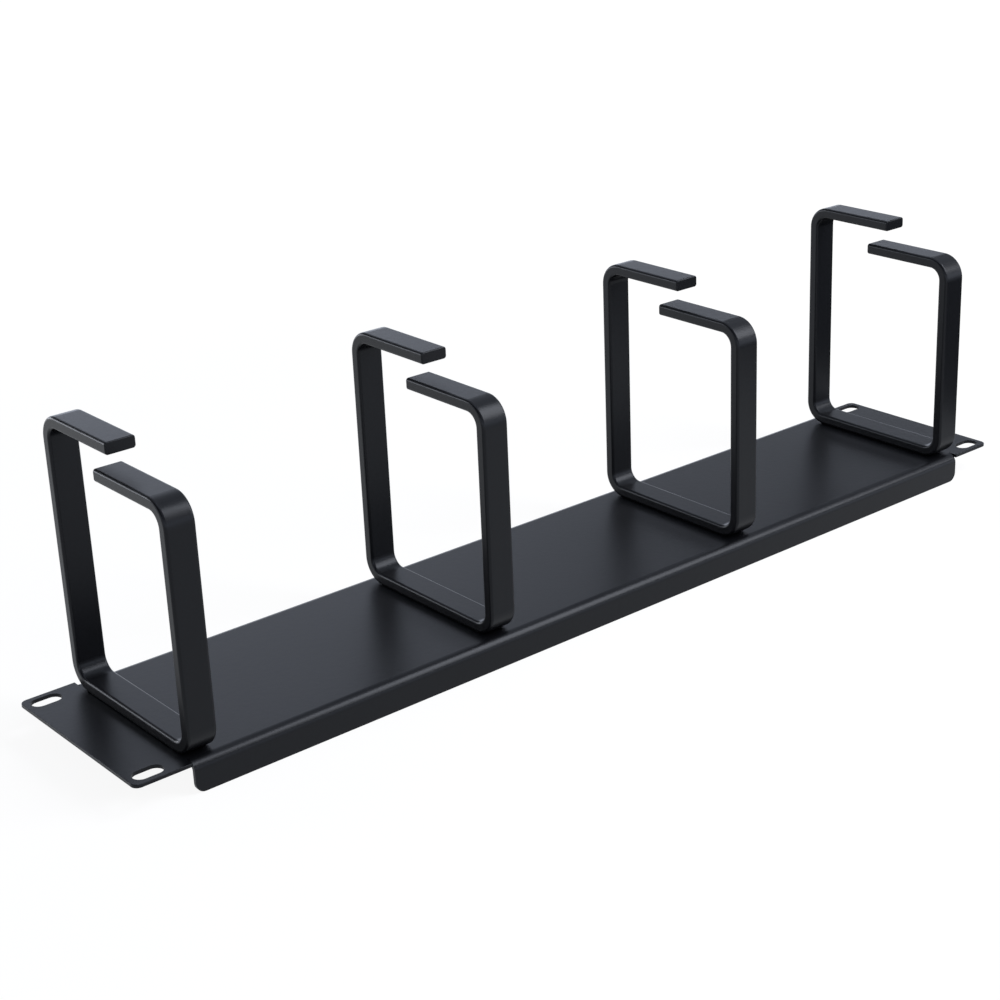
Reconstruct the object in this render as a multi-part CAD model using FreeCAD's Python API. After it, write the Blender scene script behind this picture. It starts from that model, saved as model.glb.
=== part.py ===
"""Horizontal cable manager for a 19-inch rack, two rack units high.

A folded sheet-steel panel carries four open rings bent from flat steel bar.  Each ring
sits flat on the panel's front face and is held from behind by two pan-head screws that
end in blind tapped holes in the ring's base.  Cables are laid into a ring through the
gap between its two overlapping arms.

Frame, in millimetres: the origin is the centre of the four rack slots, on the rear face
of the ears that meets the rack's rails.  +X runs along the panel, +Y across its height
in the rack, and +Z out of the front face towards the rings.
"""
import FreeCAD, Part
import math
import os

from FreeCAD import Placement, Rotation, Vector

# ---- rack standard -------------------------------------------------------------------
UNIT_HEIGHT = 44.45          # one unit of rack height
UNITS = 2                    # height of the panel in rack units
UNIT_GAP = 0.8               # the panel is this much lower than the units it fills
PANEL_LENGTH = 482.6         # 19 inches, over the ears
SLOT_FROM_EAR_END = 8.75     # ear's end to the middle of its slots, 465.1 between the rows
SLOT_TO_UNIT_EDGE = 6.35     # outermost rail hole to the edge of its rack unit

# ---- panel, one folded sheet ---------------------------------------------------------
SHEET = 1.5                  # thickness of the sheet
EAR_LENGTH = 24.2            # flat ear, from the end of the flanges outwards
FLANGE_DEPTH = 13.0          # front face to the flange's free edge
BEND_RADIUS = 2.5            # inside of the flange's fold
FLANGE_CORNER = 4.0          # rounding of the flange's free corners
EAR_CORNER = 3.0             # rounding of the ear's outer corners
SLOT_LENGTH = 12.5           # rack slot, end to end along X
SLOT_WIDTH = 7.0             # rack slot, across
RELIEF_WIDTH = 0.4           # slit between ear and flange that lets the sheet fold
RELIEF_OVERRUN = 0.4         # how far the slit runs past the line where the fold ends
SHEET_EDGE = 0.3             # rounding of the cut edges of the sheet

# ---- rings, flat bar bent to an open loop --------------------------------------------
RING_COUNT = 4
RING_FROM_FLANGE_END = 5.4   # end of the flanges to the middle of the nearest ring
BAR_WIDTH = 12.5             # flat bar, along X
BAR_THICK = 5.0              # flat bar, through the bend
BAR_EDGE = 1.2               # rounding of the bar's long edges
BAR_END_EDGE = 0.5           # rounding of the bar's sawn ends
RING_WIDTH = 86.0            # over the two legs, across the panel
RING_REACH = 113.0           # panel's front face to the top of the upper arm
RING_BEND = 5.5              # inside of the ring's four bends
ENTRY_GAP = 8.0              # between the two arms, where cables go in
ARM_PAST_MIDDLE = 5.8        # how far each arm's free end runs past the middle of the ring

# ---- ring screws, M4 pan head with a cross recess ------------------------------------
SCREW_DIAMETER = 4.0
SCREW_LENGTH = 5.0           # under the head
SCREW_POINT = 0.5            # chamfer at the screw's tip
HEAD_DIAMETER = 8.0
HEAD_HEIGHT = 3.1
HEAD_RIM = 1.0               # straight rim under the head's dome
RECESS_SPAN = 4.4            # cross recess, tip to tip
RECESS_SLOT = 1.1            # width of each arm of the cross
RECESS_DEPTH = 1.9
RECESS_TAPER = 0.45          # tip-to-tip span left at the bottom, as a share of the top's
SCREW_PITCH = 50.0           # the two screws of a ring, along Y
CLEARANCE_HOLE = 4.5         # in the panel, for each screw
THREAD_GAP = 0.06            # screw to tapped hole, all round
HOLE_BEYOND_SCREW = 0.5      # the tapped hole is this much deeper than the screw reaches

# ---- worked out from the sizes above -------------------------------------------------
PANEL_HEIGHT = UNITS * UNIT_HEIGHT - UNIT_GAP
SLOT_PITCH_X = PANEL_LENGTH - 2 * SLOT_FROM_EAR_END
SLOT_PITCH_Y = UNITS * UNIT_HEIGHT - 2 * SLOT_TO_UNIT_EDGE
BODY_LENGTH = PANEL_LENGTH - 2 * EAR_LENGTH       # stretch of the panel with folded flanges
RING_PITCH = (BODY_LENGTH - 2 * RING_FROM_FLANGE_END) / (RING_COUNT - 1)
BEND_OUTSIDE = BEND_RADIUS + SHEET
FACE_EDGE = PANEL_HEIGHT / 2 - BEND_OUTSIDE       # Y where the flat face turns into the fold
RING_TOP = SHEET + RING_REACH
LOWER_ARM_TOP = RING_TOP - BAR_THICK - ENTRY_GAP
UPPER_ARM_END = -ARM_PAST_MIDDLE                  # Y of the free end of the rear leg's arm
LOWER_ARM_END = ARM_PAST_MIDDLE                   # Y of the free end of the front leg's arm
RING_NAMES = ("ring_left_outer", "ring_left_inner", "ring_right_inner", "ring_right_outer")
TOUCH = 1e-4                 # two places closer than this are the same place


def ring_positions():
    """X of the middle of each ring, spread evenly about the middle of the panel."""
    first = -RING_PITCH * (RING_COUNT - 1) / 2
    return [first + RING_PITCH * i for i in range(RING_COUNT)]


def screw_positions():
    """Y of the two screws under a ring."""
    return (-SCREW_PITCH / 2, SCREW_PITCH / 2)


def rounded_plate(length, height, thick, radius):
    """Flat plate centred on the origin in XY, its underside on Z = 0, corners rounded."""
    plate = Part.makeBox(length, height, thick, Vector(-length / 2, -height / 2, 0))
    upright = [e for e in plate.Edges if abs(e.tangentAt(e.FirstParameter).z) > 0.99]
    return plate.makeFillet(radius, upright)


def slot_cutter(x, y):
    """Round-ended slot along X, through the sheet."""
    straight = SLOT_LENGTH - SLOT_WIDTH
    bar = Part.makeBox(straight, SLOT_WIDTH, SHEET, Vector(x - straight / 2, y - SLOT_WIDTH / 2, 0))
    for side in (-1, 1):
        end = Part.makeCylinder(SLOT_WIDTH / 2, SHEET, Vector(x + side * straight / 2, y, 0))
        bar = bar.fuse(end)
    return bar.removeSplitter()


def relief_cutter(side_x, side_y):
    """Round-bottomed slit between an ear and the end of a flange."""
    x = side_x * (BODY_LENGTH / 2 + RELIEF_WIDTH / 2)
    bottom = FACE_EDGE - RELIEF_OVERRUN + RELIEF_WIDTH / 2
    run = PANEL_HEIGHT / 2 - bottom
    y = bottom if side_y > 0 else -bottom - run
    slit = Part.makeBox(RELIEF_WIDTH, run, SHEET, Vector(x - RELIEF_WIDTH / 2, y, 0))
    return slit.fuse(Part.makeCylinder(RELIEF_WIDTH / 2, SHEET, Vector(x, side_y * bottom, 0)))


def folded_flange(side_y):
    """One long flange with its quarter-round fold, along the body of the panel."""
    fold_z = SHEET - BEND_OUTSIDE                 # centre line of the fold
    outer = Part.makeCylinder(BEND_OUTSIDE, BODY_LENGTH, Vector(0, 0, 0), Vector(1, 0, 0))
    inner = Part.makeCylinder(BEND_RADIUS, BODY_LENGTH, Vector(0, 0, 0), Vector(1, 0, 0))
    quarter = Part.makeBox(BODY_LENGTH, BEND_OUTSIDE, BEND_OUTSIDE)
    fold = outer.cut(inner).common(quarter)
    drop = FLANGE_DEPTH - BEND_OUTSIDE
    wall = Part.makeBox(BODY_LENGTH, SHEET, drop, Vector(0, BEND_RADIUS, -drop))
    across = [e for e in wall.Edges if e.BoundBox.YLength > SHEET - TOUCH]
    free = [e for e in across if e.BoundBox.ZMax < -drop + TOUCH]
    wall = wall.makeFillet(FLANGE_CORNER, free)
    flange = fold.fuse(wall).removeSplitter()
    flange.translate(Vector(-BODY_LENGTH / 2, FACE_EDGE, fold_z))
    if side_y < 0:
        flange.rotate(Vector(0, 0, 0), Vector(0, 0, 1), 180)
    return flange


def outline_edges(plate):
    """Edges of the cut outline, on the sheet's front and rear faces."""
    return [e for e in plate.Edges if e.BoundBox.ZLength < TOUCH]


def panel():
    """The folded sheet: flat face with ears, slots and screw holes, and two flanges."""
    sheet = rounded_plate(PANEL_LENGTH, PANEL_HEIGHT, SHEET, EAR_CORNER)
    sheet = sheet.makeFillet(SHEET_EDGE, outline_edges(sheet))
    strip = PANEL_HEIGHT / 2 - FACE_EDGE
    for side in (-1, 1):
        y = FACE_EDGE if side > 0 else -FACE_EDGE - strip
        sheet = sheet.cut(Part.makeBox(BODY_LENGTH, strip, SHEET, Vector(-BODY_LENGTH / 2, y, 0)))
    for side_x in (-1, 1):
        for side_y in (-1, 1):
            sheet = sheet.cut(relief_cutter(side_x, side_y))
            sheet = sheet.cut(slot_cutter(side_x * SLOT_PITCH_X / 2, side_y * SLOT_PITCH_Y / 2))
    for x in ring_positions():
        for y in screw_positions():
            sheet = sheet.cut(Part.makeCylinder(CLEARANCE_HOLE / 2, SHEET, Vector(x, y, 0)))
    for side in (-1, 1):
        sheet = sheet.fuse(folded_flange(side))
    return sheet.removeSplitter()


def arc_through_bend(centre_y, centre_z, radius, start_deg):
    """Quarter turn, clockwise from start_deg, in the plane X = 0."""
    def at(deg):
        turn = math.radians(deg)
        return Vector(0, centre_y + radius * math.cos(turn), centre_z + radius * math.sin(turn))
    return Part.Arc(at(start_deg), at(start_deg - 45), at(start_deg - 90))


def bar_path():
    """Middle line of the bent bar, from the upper arm's end round to the lower arm's end."""
    half = BAR_THICK / 2
    radius = RING_BEND + half
    side = RING_WIDTH / 2 - half                  # Y of the rear leg's middle line
    top = RING_TOP - half
    low = LOWER_ARM_TOP - half
    base = SHEET + half
    straight_top = Part.LineSegment(Vector(0, UPPER_ARM_END, top), Vector(0, side - radius, top))
    rear_leg = Part.LineSegment(Vector(0, side, top - radius), Vector(0, side, base + radius))
    foot = Part.LineSegment(Vector(0, side - radius, base), Vector(0, -side + radius, base))
    front_leg = Part.LineSegment(Vector(0, -side, base + radius), Vector(0, -side, low - radius))
    straight_low = Part.LineSegment(Vector(0, -side + radius, low), Vector(0, LOWER_ARM_END, low))
    bends = (
        arc_through_bend(side - radius, top - radius, radius, 90),
        arc_through_bend(side - radius, base + radius, radius, 0),
        arc_through_bend(-side + radius, base + radius, radius, -90),
        arc_through_bend(-side + radius, low - radius, radius, 180),
    )
    run = (straight_top, bends[0], rear_leg, bends[1], foot, bends[2], front_leg, bends[3], straight_low)
    return Part.Wire([piece.toShape() for piece in run])


def bar_section():
    """Section of the flat bar with rounded long edges, standing on the path's start."""
    block = Part.makeBox(BAR_WIDTH, 1.0, BAR_THICK, Vector(-BAR_WIDTH / 2, 0, -BAR_THICK / 2))
    along = [e for e in block.Edges if abs(e.tangentAt(e.FirstParameter).y) > 0.99]
    block = block.makeFillet(BAR_EDGE, along)
    end = [f for f in block.Faces if f.BoundBox.YMax < TOUCH][0]
    wire = end.OuterWire
    wire.translate(Vector(0, UPPER_ARM_END, RING_TOP - BAR_THICK / 2))
    return wire


def ring():
    """One open ring: the bar swept round its path, ends eased, base drilled and tapped."""
    bar = bar_path().makePipeShell([bar_section()], True, False)
    ends = [e for f in bar.Faces if is_bar_end(f) for e in f.Edges]
    bar = bar.makeFillet(BAR_END_EDGE, ends)
    depth = SCREW_LENGTH - SHEET + HOLE_BEYOND_SCREW
    for y in screw_positions():
        radius = SCREW_DIAMETER / 2 + THREAD_GAP
        bar = bar.cut(Part.makeCylinder(radius, depth, Vector(0, y, SHEET)))
    return bar


def is_bar_end(face):
    """True for the two sawn ends of the bar, which lie square to Y."""
    box = face.BoundBox
    off_end = min(abs(box.YMin - UPPER_ARM_END), abs(box.YMin - LOWER_ARM_END))
    return box.YLength < TOUCH and off_end < TOUCH


def head_profile():
    """Half section of the screw in XZ: shank up, domed head down from Z = 0."""
    shank = SCREW_DIAMETER / 2
    head = HEAD_DIAMETER / 2
    crown = HEAD_HEIGHT - HEAD_RIM
    dome = (head * head + crown * crown) / (2 * crown)     # radius of the head's dome
    lean = math.asin(head / dome) / 2
    mid = Vector(dome * math.sin(lean), 0, -HEAD_HEIGHT + dome * (1 - math.cos(lean)))
    points = [
        Vector(0, 0, SCREW_LENGTH),
        Vector(shank - SCREW_POINT, 0, SCREW_LENGTH),
        Vector(shank, 0, SCREW_LENGTH - SCREW_POINT),
        Vector(shank, 0, 0),
        Vector(head, 0, 0),
        Vector(head, 0, -HEAD_RIM),
    ]
    edges = [Part.LineSegment(a, b).toShape() for a, b in zip(points, points[1:])]
    bottom = Vector(0, 0, -HEAD_HEIGHT)
    edges.append(Part.Arc(points[-1], mid, bottom).toShape())
    edges.append(Part.LineSegment(bottom, points[0]).toShape())
    return Part.Face(Part.Wire(edges))


def cross_recess():
    """Two tapered blades crossed at right angles, the driver's recess in the head."""
    top = RECESS_SPAN / 2
    low = top * RECESS_TAPER
    z = -HEAD_HEIGHT
    corners = [Vector(-top, -RECESS_SLOT / 2, z), Vector(top, -RECESS_SLOT / 2, z),
               Vector(low, -RECESS_SLOT / 2, z + RECESS_DEPTH),
               Vector(-low, -RECESS_SLOT / 2, z + RECESS_DEPTH)]
    blade = Part.Face(Part.makePolygon(corners + corners[:1])).extrude(Vector(0, RECESS_SLOT, 0))
    across = blade.copy()
    across.rotate(Vector(0, 0, 0), Vector(0, 0, 1), 90)
    return blade.fuse(across).removeSplitter()


def screw():
    """Pan-head screw seen from behind the panel: head below Z = 0, shank above."""
    body = head_profile().revolve(Vector(0, 0, 0), Vector(0, 0, 1), 360)
    return body.cut(cross_recess())


def placed(shape, x, y, turn=0.0):
    """A copy of the shape turned about Z and moved to X, Y."""
    copy = shape.copy()
    copy.Placement = Placement(Vector(x, y, 0), Rotation(Vector(0, 0, 1), turn))
    return copy


def main():
    os.makedirs("parts", exist_ok=True)
    panel().exportStep("parts/panel.step")
    one_ring = ring()
    one_screw = screw()
    for name, x in zip(RING_NAMES, ring_positions()):
        placed(one_ring, x, 0).exportStep("parts/" + name + ".step")
        for end, y in zip(("lower", "upper"), screw_positions()):
            screw_name = name.replace("ring", "screw") + "_" + end
            placed(one_screw, x, y).exportStep("parts/" + screw_name + ".step")


main()
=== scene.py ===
import math
import bpy
from mathutils import Matrix, Vector


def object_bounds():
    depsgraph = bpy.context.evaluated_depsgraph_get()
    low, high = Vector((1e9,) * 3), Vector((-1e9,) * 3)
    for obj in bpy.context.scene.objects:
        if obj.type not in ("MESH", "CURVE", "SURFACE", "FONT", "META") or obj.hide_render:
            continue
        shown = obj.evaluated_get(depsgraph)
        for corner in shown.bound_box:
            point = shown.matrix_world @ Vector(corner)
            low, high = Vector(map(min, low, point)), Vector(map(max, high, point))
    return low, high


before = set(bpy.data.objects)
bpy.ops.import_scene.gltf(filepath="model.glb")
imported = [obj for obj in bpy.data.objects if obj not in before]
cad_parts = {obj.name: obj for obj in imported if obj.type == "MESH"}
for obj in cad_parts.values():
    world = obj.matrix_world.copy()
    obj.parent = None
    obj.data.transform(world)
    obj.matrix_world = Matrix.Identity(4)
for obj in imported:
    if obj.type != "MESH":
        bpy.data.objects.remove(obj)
cad_low, cad_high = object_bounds()

# ---- Where it is seen from ---------------------------------------------------------------------
# The eye stands off the left ear, in front of the lower flange, and looks down along the panel
# with a short telephoto lens, so that all four rings are seen through.
EYE = Vector((-0.52154, -0.60439, 0.35170))
TURN, LOOK_DOWN, LEAN = math.radians(-39.802), math.radians(20.952), math.radians(-2.113)
back = Vector((math.sin(TURN) * math.cos(LOOK_DOWN), -math.cos(TURN) * math.cos(LOOK_DOWN),
               math.sin(LOOK_DOWN)))
level = Vector((0, 0, 1)).cross(back).normalized()
upright = back.cross(level)
right = math.cos(LEAN) * level + math.sin(LEAN) * upright
up = math.cos(LEAN) * upright - math.sin(LEAN) * level
eye = bpy.data.objects.new("eye", bpy.data.cameras.new("eye"))
eye.data.sensor_width, eye.data.lens = 36, 71.071
eye.data.shift_x, eye.data.shift_y = -0.0304, -0.03755
eye.data.clip_start, eye.data.clip_end = 0.01, 50
eye.matrix_world = Matrix.Translation(EYE) @ Matrix((right, up, back)).transposed().to_4x4()
bpy.context.scene.collection.objects.link(eye)
bpy.context.scene.camera = eye

# ---- The table it lies on ----------------------------------------------------------------------
# A plain white table, long to the left and the back, whose right edge comes near the right ear.
# The flanges stand on it on their free edges. It keeps their faint shadow, which fades out
# further off, and it is seen only from above, so an eye below it sees the back of the panel.


class Wire:
    """An output of a finish's nodes. Arithmetic on it adds Math nodes; node() adds any other."""

    def __init__(self, tree, socket=None):
        self.tree, self.socket = tree, socket

    def node(self, kind, settings={}, inputs={}, output=0):
        """Adds a node and gives the Wire of its output. An output node has none to give."""
        made = self.tree.nodes.new(kind)
        for name, value in settings.items():
            if name == "stops":
                for stop, (place, shade) in zip(made.color_ramp.elements, value):
                    stop.position, stop.color = place, shade
            else:
                setattr(made, name, value)
        for name, value in inputs.items():
            if isinstance(value, Wire):
                self.tree.links.new(value.socket, made.inputs[name])
            else:
                made.inputs[name].default_value = value
        if made.outputs:
            return Wire(self.tree, made.outputs[output])

    def value(self, operation, *terms):
        """One Math node on wires or numbers."""
        return self.node("ShaderNodeMath", {"operation": operation}, dict(enumerate(terms)))

    def fading(self, start, stop):
        """0 where the value is at start, 1 where it is at stop, and smooth between."""
        return self.node("ShaderNodeMapRange", {"interpolation_type": "SMOOTHSTEP"}, {
            "Value": self, "From Min": start, "From Max": stop, "To Min": 0.0, "To Max": 1.0})

    def __add__(self, other):
        return self.value("ADD", self, other)

    def __mul__(self, other):
        return self.value("MULTIPLY", self, other)

    __radd__, __rmul__ = __add__, __mul__


def finish(name):
    """A new material with an empty node tree, and the Wire to build it with."""
    made = bpy.data.materials.new(name)
    made.use_nodes = True
    made.node_tree.nodes.clear()
    return made, Wire(made.node_tree)


def seen(wire):
    """1 where the eye looks straight at it, and 1 where it is found in a sheen or through glass."""
    path = "ShaderNodeLightPath"
    in_sheen = wire.node(path, output="Is Glossy Ray")
    in_glass = wire.node(path, output="Is Transmission Ray")
    return wire.node(path, output="Is Camera Ray"), in_sheen + in_glass


TABLE_LEFT, TABLE_RIGHT, TABLE_FRONT, TABLE_BACK = -4.0, 0.29, -4.0, 4.0
DROP = 0.0002                       # below the flanges' edges, so that no two faces share a plane
PALE = (0.90, 0.90, 0.90, 1)
GROUND_WHITE = 1.04                 # a little over 1, so that the ground is white all over
SHADOW_SHARE = 0.12                 # of what the eye sees of the table near the panel
SHADOW_FADES = 0.32, 0.85           # metres from the middle of the panel
GLOW = (0.93, 0.96, 1, 1)           # what the panel's sheen finds in the table
# The glow is painted stronger behind the panel: a painted pool of light on the table, found only in
# the sheen.
GLOW_IN_FRONT, GLOW_BEHIND = 1.0, 1.28
GLOW_CHANGES = 0.05, 0.16           # metres behind the middle of the panel
table_top, wire = finish("table_top")
eye_sees, sheen_sees = seen(wire)
plain = wire.node("ShaderNodeBsdfDiffuse", inputs={"Color": PALE})
place = wire.node("ShaderNodeTexCoord", output="Object")
behind = wire.node("ShaderNodeSeparateXYZ", inputs={0: place}, output="Y").fading(*GLOW_CHANGES)
glow = wire.node("ShaderNodeMixShader", inputs={
    0: behind,
    1: wire.node("ShaderNodeEmission", inputs={"Color": GLOW, "Strength": GLOW_IN_FRONT}),
    2: wire.node("ShaderNodeEmission", inputs={"Color": GLOW, "Strength": GLOW_BEHIND})})
white = wire.node("ShaderNodeEmission", inputs={"Color": (1, 1, 1, 1), "Strength": GROUND_WHITE})
shown = wire.node("ShaderNodeMixShader", inputs={0: eye_sees, 1: glow, 2: white})
away = wire.node("ShaderNodeVectorMath", {"operation": "LENGTH"}, {0: place}, output="Value")
unshaded = 1 - SHADOW_SHARE + SHADOW_SHARE * away.fading(*SHADOW_FADES) * eye_sees
bright = wire.node("ShaderNodeMixShader", inputs={0: unshaded, 1: plain, 2: shown})
above = wire.node("ShaderNodeMixShader", inputs={0: eye_sees + sheen_sees, 1: plain, 2: bright})
below = wire.node("ShaderNodeNewGeometry", output="Backfacing")
one_sided = wire.node("ShaderNodeMixShader", inputs={
    0: below, 1: above, 2: wire.node("ShaderNodeBsdfTransparent")})
wire.node("ShaderNodeOutputMaterial", inputs={"Surface": one_sided})
mesh = bpy.data.meshes.new("table")
top = cad_low.z - DROP
mesh.from_pydata([(TABLE_LEFT, TABLE_FRONT, top), (TABLE_RIGHT, TABLE_FRONT, top),
                  (TABLE_RIGHT, TABLE_BACK, top), (TABLE_LEFT, TABLE_BACK, top)],
                 [], [(0, 1, 2, 3)])
mesh.materials.append(table_top)
table = bpy.data.objects.new("table", mesh)
bpy.context.scene.collection.objects.link(table)

# ---- The studio round it -----------------------------------------------------------------------
# A white cove, seen as such by the eye. The sheen finds what stands round it: a bright cloth
# behind the panel and a paler one in front, a ceiling, a horizon that fades upwards, and two
# soft boxes.
COOL = (0.80, 0.86, 1.0, 1)
LAMP_COLOUR = (0.92, 0.94, 1.0)
FILL, SHEEN_LEVEL = 0.35, 1.13      # the room's light on plain colour, and in the sheen
DIMMEST, HORIZON = 0.04, 1.95       # the darkest of the room, and how much brighter its horizon is
HORIZON_GONE, HORIZON_WHOLE, HORIZON_FOOT = (
    math.sin(math.radians(tilt)) for tilt in (17, 10, -10))
CLOTHS = {                          # brightness, turn, tilt, degrees where it fades and is gone
    "behind_panel": (0.92, 67, 28, 0, 23),
    "ceiling": (0.90, 30, 78, 36, 56),
    "in_front": (0.60, -112, 27, 8, 40),
    "overhead": (1.50, 0, 90, 2, 20)}
room = bpy.data.worlds.new("room")
bpy.context.scene.world = room
room.use_nodes = True
room.node_tree.nodes.clear()
wire = Wire(room.node_tree)
look = wire.node("ShaderNodeTexCoord", output="Generated")


def facing(turn, tilt):
    """The unit vector that points turn degrees round from the panel's right, tilt degrees up."""
    turn, tilt = math.radians(turn), math.radians(tilt)
    return math.cos(tilt) * math.cos(turn), math.cos(tilt) * math.sin(turn), math.sin(tilt)


def cloth(turn, tilt, core, rim):
    """1 within core degrees of a direction, and 0 beyond rim degrees."""
    near = wire.node("ShaderNodeVectorMath", {"operation": "DOT_PRODUCT"},
                     {0: look, 1: facing(turn, tilt)}, output="Value")
    return near.fading(math.cos(math.radians(rim)), math.cos(math.radians(core)))


height = wire.node("ShaderNodeSeparateXYZ", inputs={0: look}, output="Z")
horizon = height.fading(HORIZON_GONE, HORIZON_WHOLE) * height.fading(HORIZON_FOOT, 0)
sheen = DIMMEST + HORIZON * horizon
for brightness, turn, tilt, core, rim in CLOTHS.values():
    sheen = sheen + brightness * cloth(turn, tilt, core, rim)
eye_sees, sheen_sees = seen(wire)
air = wire.node("ShaderNodeBackground", inputs={"Color": COOL, "Strength": FILL})
walls = wire.node("ShaderNodeBackground", inputs={
    "Color": COOL, "Strength": SHEEN_LEVEL * sheen})
white = wire.node("ShaderNodeBackground", inputs={
    "Color": (1, 1, 1, 1), "Strength": GROUND_WHITE})
dim = wire.node("ShaderNodeMixShader", inputs={0: sheen_sees, 1: air, 2: walls})
cove = wire.node("ShaderNodeMixShader", inputs={0: eye_sees, 1: dim, 2: white})
wire.node("ShaderNodeOutputWorld", inputs={"Surface": cove})


def soft_box(name, turn, tilt, away, wide, tall, brightness):
    """A soft box that faces the middle of the panel; its brightness is that of its cloth."""
    lamp = bpy.data.objects.new(name, bpy.data.lights.new(name, "AREA"))
    lamp.data.shape, lamp.data.size, lamp.data.size_y = "RECTANGLE", wide, tall
    lamp.data.energy, lamp.data.color = math.pi * wide * tall * brightness, LAMP_COLOUR
    lamp.location = away * Vector(facing(turn, tilt))
    lamp.rotation_euler = (-lamp.location).to_track_quat("-Z", "Y").to_euler()
    lamp.visible_camera = False
    bpy.context.scene.collection.objects.link(lamp)


soft_box("right_front_box", turn=-46, tilt=40.5, away=1.45, wide=0.76, tall=0.98, brightness=9.3)
soft_box("left_back_box", turn=122, tilt=9, away=1.3, wide=0.8, tall=0.30, brightness=7.0)

bpy.context.scene.view_settings.view_transform = "Standard"

# ---- Panel -------------------------------------------------------------------------------------
# One sheet of 1.5 mm steel with both long edges folded back and flat ears at the ends, coated all
# over with black satin powder.
BLACK = (0.0035, 0.0037, 0.0045)
SHEEN_TINT = (0.92, 0.95, 1.0, 1)
GRAIN = 0.00003                     # metres from the lowest to the highest of peel and dust


def powder_coat(name):
    """Satin powder coat: baked powder leaves a low orange peel and a fine grain on the sheen."""
    made, wire = finish(name)
    place = wire.node("ShaderNodeTexCoord", output="Object")
    drift = wire.node("ShaderNodeTexNoise", inputs={
        "Vector": place, "Scale": 14.0, "Detail": 3.0, "Roughness": 0.55}, output="Fac")
    peel = wire.node("ShaderNodeTexNoise", inputs={
        "Vector": place, "Scale": 420.0, "Detail": 1.0, "Roughness": 0.4}, output="Fac")
    dust = wire.node("ShaderNodeTexNoise", inputs={
        "Vector": place, "Scale": 2200.0, "Detail": 2.0, "Roughness": 0.6}, output="Fac")
    shade = wire.node("ShaderNodeMix", {"data_type": "RGBA"}, {
        0: 0.35 * drift + 0.65 * dust, 6: [0.75 * c for c in BLACK] + [1],
        7: [1.25 * c for c in BLACK] + [1]}, output=2)
    relief = wire.node("ShaderNodeBump", inputs={
        "Strength": 1.0, "Distance": GRAIN, "Height": 0.65 * peel + 0.35 * dust})
    coat = wire.node("ShaderNodeBsdfPrincipled", inputs={
        "Base Color": shade, "Roughness": 0.275 + 0.06 * drift + 0.04 * dust,
        "Specular IOR Level": 0.185, "Specular Tint": SHEEN_TINT, "Normal": relief})
    wire.node("ShaderNodeOutputMaterial", inputs={"Surface": coat})
    return made


def dress(node, material):
    """Gives a CAD node its finish."""
    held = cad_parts[node].data.materials
    held.clear()
    held.append(material)


dress("panel", powder_coat("panel_coat"))

# ---- Rings -------------------------------------------------------------------------------------
# Four flat steel bars, each bent round into an open ring whose two arms pass each other, and
# coated with the same black satin powder. Each is screwed to the panel from behind.
ring_coat = powder_coat("ring_coat")
for node in sorted(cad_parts):
    if node.startswith("ring_"):
        dress(node, ring_coat)

# ---- Screws ------------------------------------------------------------------------------------
# Pan heads with a cross recess, turned from steel wire and zinc plated. Two hold each ring from
# behind the panel; their heads keep faint lathe marks, and the plating clouds a little.
DULL_ZINC, BRIGHT_ZINC = (0.50, 0.52, 0.56, 1), (0.66, 0.67, 0.69, 1)
LATHE_MARKS = 26                    # rings of them, if they ran right across the screw
MARK_DEPTH = 0.0000015
zinc, wire = finish("screw_zinc")
place = wire.node("ShaderNodeTexCoord", output="Object")
across = wire.node("ShaderNodeTexCoord", output="Generated")
off_axis = wire.node("ShaderNodeVectorMath", {"operation": "SUBTRACT"}, {
    0: across, 1: (0.5, 0.5, 0.0)})
off_axis = wire.node("ShaderNodeVectorMath", {"operation": "MULTIPLY"}, {
    0: off_axis, 1: (1, 1, 0)})
radius = wire.node("ShaderNodeVectorMath", {"operation": "LENGTH"}, {
    0: off_axis}, output="Value")
cloud = wire.node("ShaderNodeTexNoise", inputs={
    "Vector": place, "Scale": 520.0, "Detail": 3.0, "Roughness": 0.6}, output="Fac")
turning = wire.value("SINE", radius * (2 * math.pi * LATHE_MARKS) + 3.0 * cloud)
tone = wire.node("ShaderNodeValToRGB", {"stops": [(0.35, DULL_ZINC), (0.65, BRIGHT_ZINC)]},
                 {"Fac": cloud}, output="Color")
marks = wire.node("ShaderNodeBump", inputs={
    "Strength": 1.0, "Distance": MARK_DEPTH, "Height": turning + 4.0 * cloud})
plating = wire.node("ShaderNodeBsdfPrincipled", inputs={
    "Base Color": tone, "Metallic": 1.0, "Roughness": 0.24 + 0.14 * cloud + 0.02 * turning,
    "Normal": marks})
wire.node("ShaderNodeOutputMaterial", inputs={"Surface": plating})
for node in sorted(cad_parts):
    if node.startswith("screw_"):
        dress(node, zinc)
